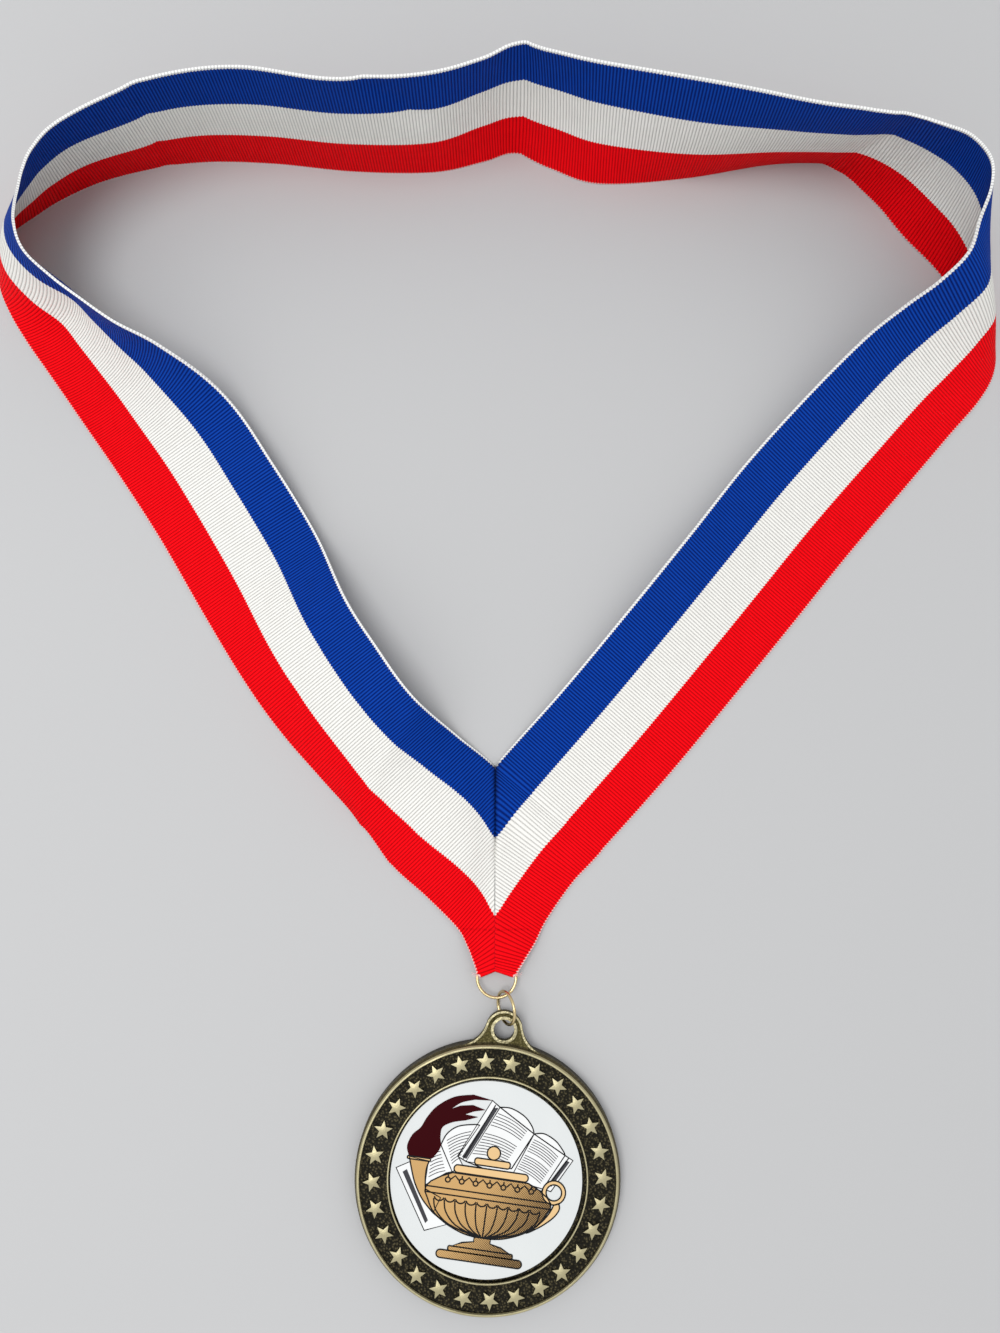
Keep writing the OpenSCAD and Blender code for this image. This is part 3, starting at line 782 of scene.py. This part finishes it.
def printed_sheet_material():
    material, tree, shader = new_material("insert_sheet")
    place = object_place(tree)
    varied = place_group(tree, VARIATION, Place=place, Patch_size=90.0, Grain_size=6000.0)
    colour = mix(tree, varied["Patch"], (0.60, 0.615, 0.605, 1), (0.56, 0.58, 0.575, 1))
    feed(tree, shader.inputs["Base Color"], colour)
    feed(tree, shader.inputs["Roughness"], maths(tree, "MULTIPLY_ADD", varied["Grain"], 0.10, 0.30))
    shader.inputs["Specular IOR Level"].default_value = 0.25
    feed(tree, shader.inputs["Normal"], bump(tree, varied["Grain"], 0.00001, 0.4))
    return material


RING_WIRE = ring_wire_material()
INSERT_SHEET = printed_sheet_material()
for node, material in (("link_ring", RING_WIRE), ("ribbon_ring", RING_WIRE), ("insert_disc", INSERT_SHEET)):
    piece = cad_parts[node]
    piece.data.materials.clear()
    piece.data.materials.append(material)
    for polygon in piece.data.polygons:
        polygon.use_smooth = node != "insert_disc"

# Printed emblem on the disc: a lamp of learning with its flame, in front of two open books

ART_AT = (-0.31, 0)
ART_TURN = math.radians(-8)
ART_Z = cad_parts["insert_disc"].bound_box[1][2] / MM
INK_STEP = 0.012


def on_disc(points, layer):
    """Points of the drawing, in mm from the disc's middle with the lamp upright, put on the disc."""
    c, s = math.cos(ART_TURN), math.sin(ART_TURN)
    z = ART_Z + INK_STEP * layer
    return [((ART_AT[0] + x * c - y * s) * MM, (ART_AT[1] + x * s + y * c) * MM, z * MM) for x, y in points]


def curved(points, count=5):
    """Points on a smooth open curve through all of the given points."""
    n = len(points)
    out = []
    for i in range(n - 1):
        p = [np.array(points[min(max(i + k, 0), n - 1)], float) for k in (-1, 0, 1, 2)]
        for k in range(count):
            s = k / count
            bend = 2 * p[0] - 5 * p[1] + 4 * p[2] - p[3] + s * (3 * p[1] - p[0] - 3 * p[2] + p[3])
            out.append(tuple(p[1] + 0.5 * s * ((p[2] - p[0]) + s * bend)))
    out.append(tuple(points[-1]))
    return out


def arc(cx, cy, r, start=0, end=360, count=24):
    angles = np.radians(np.linspace(start, end, count, endpoint=end - start < 360))
    return [(cx + r * math.cos(a), cy + r * math.sin(a)) for a in angles]


def bar(x0, y0, x1, y1, soft):
    """Outline of a bar with round ends."""
    soft = min(soft, (y1 - y0) / 2)
    out = []
    corners = ((x1 - soft, y1 - soft), (x0 + soft, y1 - soft), (x0 + soft, y0 + soft), (x1 - soft, y0 + soft))
    for k, (cx, cy) in enumerate(corners):
        out += arc(cx, cy, soft, 90 * k, 90 * k + 90, 6)
    return out


def print_shapes(name, shapes, layer, material):
    """Flat areas of one printing colour. Each area is filled from its outline and the outlines of its holes."""
    areas = []
    for k, outlines in enumerate(shapes):
        bpy.ops.object.select_all(action="DESELECT")
        bpy.ops.curve.primitive_bezier_circle_add(radius=MM)
        area = bpy.context.object
        area.data.dimensions = "2D"
        area.data.fill_mode = "BOTH"
        area.data.splines.clear()
        for points in outlines:
            spline = area.data.splines.new("POLY")
            spline.points.add(len(points) - 1)
            spline.use_cyclic_u = True
            for place, (x, y, _) in zip(spline.points, on_disc(points, layer)):
                place.co = (x, y, 0, 1)
        areas.append(finish_print(area, layer + 0.08 * k, material, 0))
    select_only(*areas)
    if len(areas) > 1:
        bpy.ops.object.join()
    areas[0].name = name
    declare_print(areas[0])


def print_lines(name, lines, layer, material, width):
    """Ink lines of one width, pressed flat."""
    bpy.ops.object.select_all(action="DESELECT")
    bpy.ops.curve.primitive_bezier_circle_add(radius=MM)
    ink = bpy.context.object
    ink.name = name
    ink.data.dimensions = "3D"
    ink.data.bevel_depth = width / 2 * MM
    ink.data.bevel_resolution = 1
    ink.data.use_fill_caps = True
    ink.data.splines.clear()
    for points, closed in lines:
        spline = ink.data.splines.new("POLY")
        spline.points.add(len(points) - 1)
        spline.use_cyclic_u = closed
        for place, (x, y, _) in zip(spline.points, on_disc(points, layer)):
            place.co = (x, y, 0, 1)
    declare_print(finish_print(ink, layer, material, 0.1))


def finish_print(piece, layer, material, flatten):
    bpy.ops.object.convert(target="MESH")
    piece = bpy.context.object
    if flatten:
        piece.scale.z = flatten
    piece.location.z = (ART_Z + INK_STEP * layer) * MM
    bpy.ops.object.transform_apply(location=True, rotation=True, scale=True)
    piece.data.materials.clear()
    piece.data.materials.append(material)
    if not flatten:
        bpy.ops.object.mode_set(mode="EDIT")
        bpy.ops.mesh.select_all(action="SELECT")
        bpy.ops.mesh.remove_doubles(threshold=1e-7)
        bpy.ops.object.mode_set(mode="OBJECT")
        if sum(p.normal.z * p.area for p in piece.data.polygons) < 0:
            bpy.ops.object.mode_set(mode="EDIT")
            bpy.ops.mesh.select_all(action="SELECT")
            bpy.ops.mesh.flip_normals()
            bpy.ops.object.mode_set(mode="OBJECT")
    return piece


def declare_print(piece):
    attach(piece, "root")


def ink_material(name, colour, dark=None):
    """Printing ink with a fine grain. A darker colour adds a dot screen that grows to the lower right."""
    material, tree, shader = new_material(name)
    place = object_place(tree)
    varied = place_group(tree, VARIATION, Place=place, Patch_size=120.0, Grain_size=9000.0)
    tone = mix(tree, varied["Patch"], colour, tuple(c * 0.88 for c in colour[:3]) + (1,))
    if dark is not None:
        x, y, _ = split(tree, place)
        turned = tree.nodes.new("ShaderNodeMapping")
        feed(tree, turned.inputs["Vector"], place)
        turned.inputs["Rotation"].default_value = (0, 0, math.radians(37))
        dot = cells(tree, turned.outputs["Vector"], 2600.0, even=True)
        slope = maths(tree, "SUBTRACT", maths(tree, "MULTIPLY", x, 34.0), maths(tree, "MULTIPLY", y, 30.0))
        size = smooth(tree, slope, -0.30, 0.85, 0.06, 0.50)
        screen = smooth(tree, maths(tree, "SUBTRACT", size, dot), -0.05, 0.05)
        tone = mix(tree, screen, tone, dark)
    feed(tree, shader.inputs["Base Color"], tone)
    feed(tree, shader.inputs["Roughness"], maths(tree, "MULTIPLY_ADD", varied["Grain"], 0.12, 0.27))
    shader.inputs["Specular IOR Level"].default_value = 0.04
    return material


INK = ink_material("black_ink", (0.012, 0.012, 0.013, 1))
GREY_INK = ink_material("grey_ink", (0.05, 0.05, 0.055, 1))
PAPER_INK = ink_material("page_white", (0.74, 0.745, 0.735, 1))
LAMP_INK = ink_material("lamp_tan", (0.52, 0.32, 0.13, 1), (0.030, 0.020, 0.012, 1))
LIGHT_INK = ink_material("lamp_light", (0.69, 0.47, 0.23, 1))
FLAME_INK = ink_material("flame_maroon", (0.032, 0.0005, 0.002, 1))

LAMP_X = 1.0


def lamp_outline():
    """The bowl, its rim and its shoulders in one outline."""
    right = [(9.8, 0.6), (12.5, -0.6), (15.0, -2.2), (16.2, -3.6), (16.2, -5.0), (15.4, -6.4)]
    belly = curved([(15.4, -6.4), (13.6, -9.4), (10.0, -12.0), (5.6, -13.8), (2.2, -14.4)])
    half = right + belly[1:]
    return [(LAMP_X + x, y) for x, y in half] + [(LAMP_X - x, y) for x, y in half[::-1]]


SPOUT = curved([(-20.4, 3.0), (-19.4, 0.0), (-18.0, -3.4), (-15.6, -7.0), (-12.4, -10.0)]) \
    + [(-11.0, -6.0), (-15.2, -4.4)] + curved([(-15.2, -4.4), (-15.6, -1.5), (-15.6, 0.8), (-15.2, 2.6)], 4)
FOOT = [(LAMP_X - 2.1, -14.2), (LAMP_X + 2.1, -14.2), (LAMP_X + 2.1, -15.6), (LAMP_X + 5.0, -16.2),
        (LAMP_X + 7.6, -17.4), (LAMP_X - 7.6, -17.4), (LAMP_X - 5.0, -16.2), (LAMP_X - 2.1, -15.6)]
STEP = bar(LAMP_X - 8.4, -18.6, LAMP_X + 8.2, -17.4, 0.4)
BASE = bar(LAMP_X - 11.2, -20.6, LAMP_X + 10.8, -18.6, 1.0)
KNOB = arc(LAMP_X, 6.8, 1.7)
LID = bar(LAMP_X - 4.6, 3.4, LAMP_X + 4.6, 5.1, 0.7)
COLLAR = bar(LAMP_X - 9.6, 0.8, LAMP_X + 9.6, 2.7, 0.9)
LIP = bar(-20.9, 2.5, -14.9, 3.2, 0.3)
HANDLE_TAIL = curved([(19.2, -3.2), (19.5, -4.8), (18.2, -7.0), (15.4, -9.5), (12.0, -11.7)]) \
    + curved([(12.4, -10.9), (15.0, -8.9), (17.0, -6.2), (18.0, -3.8)], 4)
FLAME = curved([(-20.6, 3.2), (-21.4, 5.6), (-20.4, 8.6), (-18.6, 10.6), (-17.2, 13.6), (-15.0, 16.6),
                (-11.0, 19.4), (-6.2, 20.6)]) \
    + [(-0.8, 19.8)] + curved([(-5.6, 19.4), (-9.0, 18.2), (-11.2, 16.4)], 4) \
    + curved([(-9.2, 17.4), (-6.0, 18.0)], 2) + [(-2.6, 17.2)] \
    + curved([(-5.6, 16.4), (-7.6, 15.4)], 2) + [(-4.2, 15.2)] \
    + curved([(-7.4, 13.9), (-10.6, 13.0), (-13.0, 11.4), (-13.2, 9.0), (-12.8, 6.4), (-14.2, 3.8),
              (-15.6, 3.0)])

# Pages of the right book, left and right of its gutter, then its cover
PAGE_A = curved([(1.0, 18.4), (4.0, 18.5), (7.6, 17.0), (9.8, 14.8), (10.6, 13.0)]) + [(6.0, 3.6), (-5.8, 3.8)]
PAGE_B = curved([(10.6, 13.0), (13.2, 13.4), (16.4, 12.0), (18.6, 9.8), (19.2, 8.8)]) \
    + [(14.4, -0.8), (6.0, 1.0)]
COVER = [(-1.2, 19.8), (-8.2, 4.8), (-5.8, 3.8), (6.0, 1.0), (16.8, -0.6), (21.4, 7.8), (19.2, 8.8),
         (10.6, 13.0), (1.0, 18.4)]
# The left book shows its near page beyond the spout and a corner of its cover below it
PAGE_C = curved([(-12.8, 7.0), (-11.6, 10.0), (-9.0, 12.2), (-5.0, 13.2), (-3.6, 13.2)]) \
    + [(-8.0, 4.8), (-6.0, 2.0), (-9.0, 0.8)]
PAGE_D = [(-15.4, 5.6), (-12.8, 7.0), (-9.0, 0.8), (-10.5, 0.2), (-15.4, -3.4)]
CORNER = [(-23.4, -0.2), (-20.0, 1.8), (-18.0, -3.4), (-15.6, -7.0), (-12.4, -10.0), (-8.6, -12.4),
          (-14.0, -14.6)]


def across_page(a, b, c, d, rows, skip=()):
    """Plain lines of print between the edges a to b and c to d of a page, arched a little as the page is."""
    out = []
    for k in range(rows):
        if k in skip:
            continue
        t = (k + 0.5) / rows
        p = np.array(a) + (np.array(b) - a) * t
        q = np.array(c) + (np.array(d) - c) * t
        way = q - p
        up = np.array([-way[1], way[0]]) * 0.055
        line = [tuple(p + way * s + up * math.sin(math.pi * s)) for s in (0.0, 0.33, 0.66, 1.0)]
        out.append((curved(line, 3), False))
    return out


def flutes():
    """Curved lines down the bowl and the scallops under its rim."""
    out = []
    for k in range(-5, 6):
        x = k * 2.75
        line = [(x, -6.3), (x * 0.93, -9.2), (x * 0.66, -12.2), (k * 0.42, -14.2)]
        out.append((curved([(LAMP_X + a, b) for a, b in line], 4), False))
    for k in range(-5, 5):
        out.append((arc(LAMP_X + (k + 0.5) * 2.75, -5.4, 1.35, 200, 340, 8), False))
    return out


def shoulder_trim():
    """Small rings joined by a zigzag round the shoulder."""
    out = []
    for k in range(7):
        x = LAMP_X - 10.8 + 3.6 * k
        out.append((arc(x, -1.3, 0.62, count=14), True))
        between = [(x + 0.75, -1.1), (x + 1.8, -0.1), (x + 2.85, -1.1)]
        out.append((between if k < 6 else [(x + 0.75, -1.1), (x + 1.5, -0.3)], False))
        out.append(([(x, -0.7), (x, 0.1)], False))
    return out


def print_emblem():
    print_shapes("book_covers", [[CORNER], [COVER]], 1, PAPER_INK)
    print_shapes("book_pages", [[PAGE_D], [PAGE_C], [PAGE_A], [PAGE_B]], 2, PAPER_INK)
    strips = [
        [[(-0.6, 18.0), (0.6, 18.2), (-5.8, 4.4), (-7.0, 4.8)]],
        [[(19.6, 7.6), (20.6, 7.3), (16.8, 0.6), (15.6, 0.8)]],
        [[(-21.6, -1.0), (-20.6, -0.2), (-13.4, -12.0), (-14.0, -12.8)]],
    ]
    print_shapes("cover_shade", strips, 3, GREY_INK)
    text = across_page((0.8, 17.2), (-4.6, 5.6), (8.8, 13.6), (4.4, 4.8), 15, (5, 6))
    text += across_page((10.8, 11.9), (7.4, 3.6), (17.6, 8.4), (13.8, 0.8), 14, (6,))
    text += across_page((-11.6, 8.6), (-9.2, 2.4), (-5.4, 11.8), (-7.6, 4.0), 9)
    text += across_page((-14.8, 4.6), (-14.8, -1.8), (-12.8, 5.8), (-10.6, 0.4), 7)
    print_lines("page_print", text, 3, GREY_INK, 0.20)
    outlines = [(s, True) for s in (COVER, CORNER, PAGE_C, PAGE_D, PAGE_A, PAGE_B)]
    folds = [[(-0.2, 18.8), (-6.6, 4.4)], [(10.6, 13.0), (6.0, 3.6)], [(20.2, 8.2), (15.6, 0.0)]]
    outlines += [(fold, False) for fold in folds]
    print_lines("book_outlines", outlines, 3, INK, 0.32)
    ring = arc(17.6, -0.8, 3.0)
    hole = arc(17.6, -0.8, 2.0)
    rim = bar(LAMP_X - 16.2, -5.0, LAMP_X + 16.2, -3.5, 0.5)
    print_shapes("lamp_body", [[SPOUT], [FOOT], [STEP], [BASE], [lamp_outline()]], 4, LAMP_INK)
    print_shapes("lamp_handle", [[ring, hole], [HANDLE_TAIL]], 5, LIGHT_INK)
    print_shapes("lamp_lid", [[KNOB], [LID], [COLLAR], [LIP]], 5, LIGHT_INK)
    print_shapes("lamp_flame", [[FLAME]], 5, FLAME_INK)
    shapes = [lamp_outline(), SPOUT, FOOT, STEP, BASE, HANDLE_TAIL, ring, hole, KNOB, LID, COLLAR, LIP, rim]
    print_lines("lamp_outlines", [(s, True) for s in shapes], 6, INK, 0.36)
    print_lines("lamp_trim", flutes() + shoulder_trim(), 6, INK, 0.38)


print_emblem()

# Floor and light


def add_floor():
    bpy.ops.object.select_all(action="DESELECT")
    bpy.ops.mesh.primitive_plane_add(size=6, location=(0, 0.12, 0))
    floor = bpy.context.object
    floor.name = "floor"
    material, tree, shader = new_material("pale_floor")
    shader.inputs["Base Color"].default_value = (0.43, 0.43, 0.43, 1)
    shader.inputs["Roughness"].default_value = 0.85
    floor.data.materials.append(material)


def add_lamp(name, place, aim, size, power, colour=(1, 1, 1)):
    bpy.ops.object.light_add(type="AREA", location=place)
    lamp = bpy.context.object
    lamp.name = name
    lamp.data.shape = "DISK"
    lamp.data.size = size
    lamp.data.energy = power
    lamp.data.color = colour
    way = np.array(aim, float) - np.array(place, float)
    lamp.rotation_euler = (math.acos(-way[2] / np.linalg.norm(way)), 0, math.atan2(way[0], -way[1]))


add_floor()
add_lamp("sky_lamp", (-0.35, 0.10, 1.1), (0, 0.12, 0), 0.7, 7.5)
add_lamp("front_lamp", (0.10, -0.7, 0.7), (0, 0.16, 0), 0.7, 15.5)
world = bpy.context.scene.world or bpy.data.worlds.new("world")
bpy.context.scene.world = world
world.use_nodes = True
world.node_tree.nodes["Background"].inputs[0].default_value = (0.97, 0.98, 1.0, 1)
world.node_tree.nodes["Background"].inputs[1].default_value = 1.0
bpy.context.scene.view_settings.view_transform = "Standard"
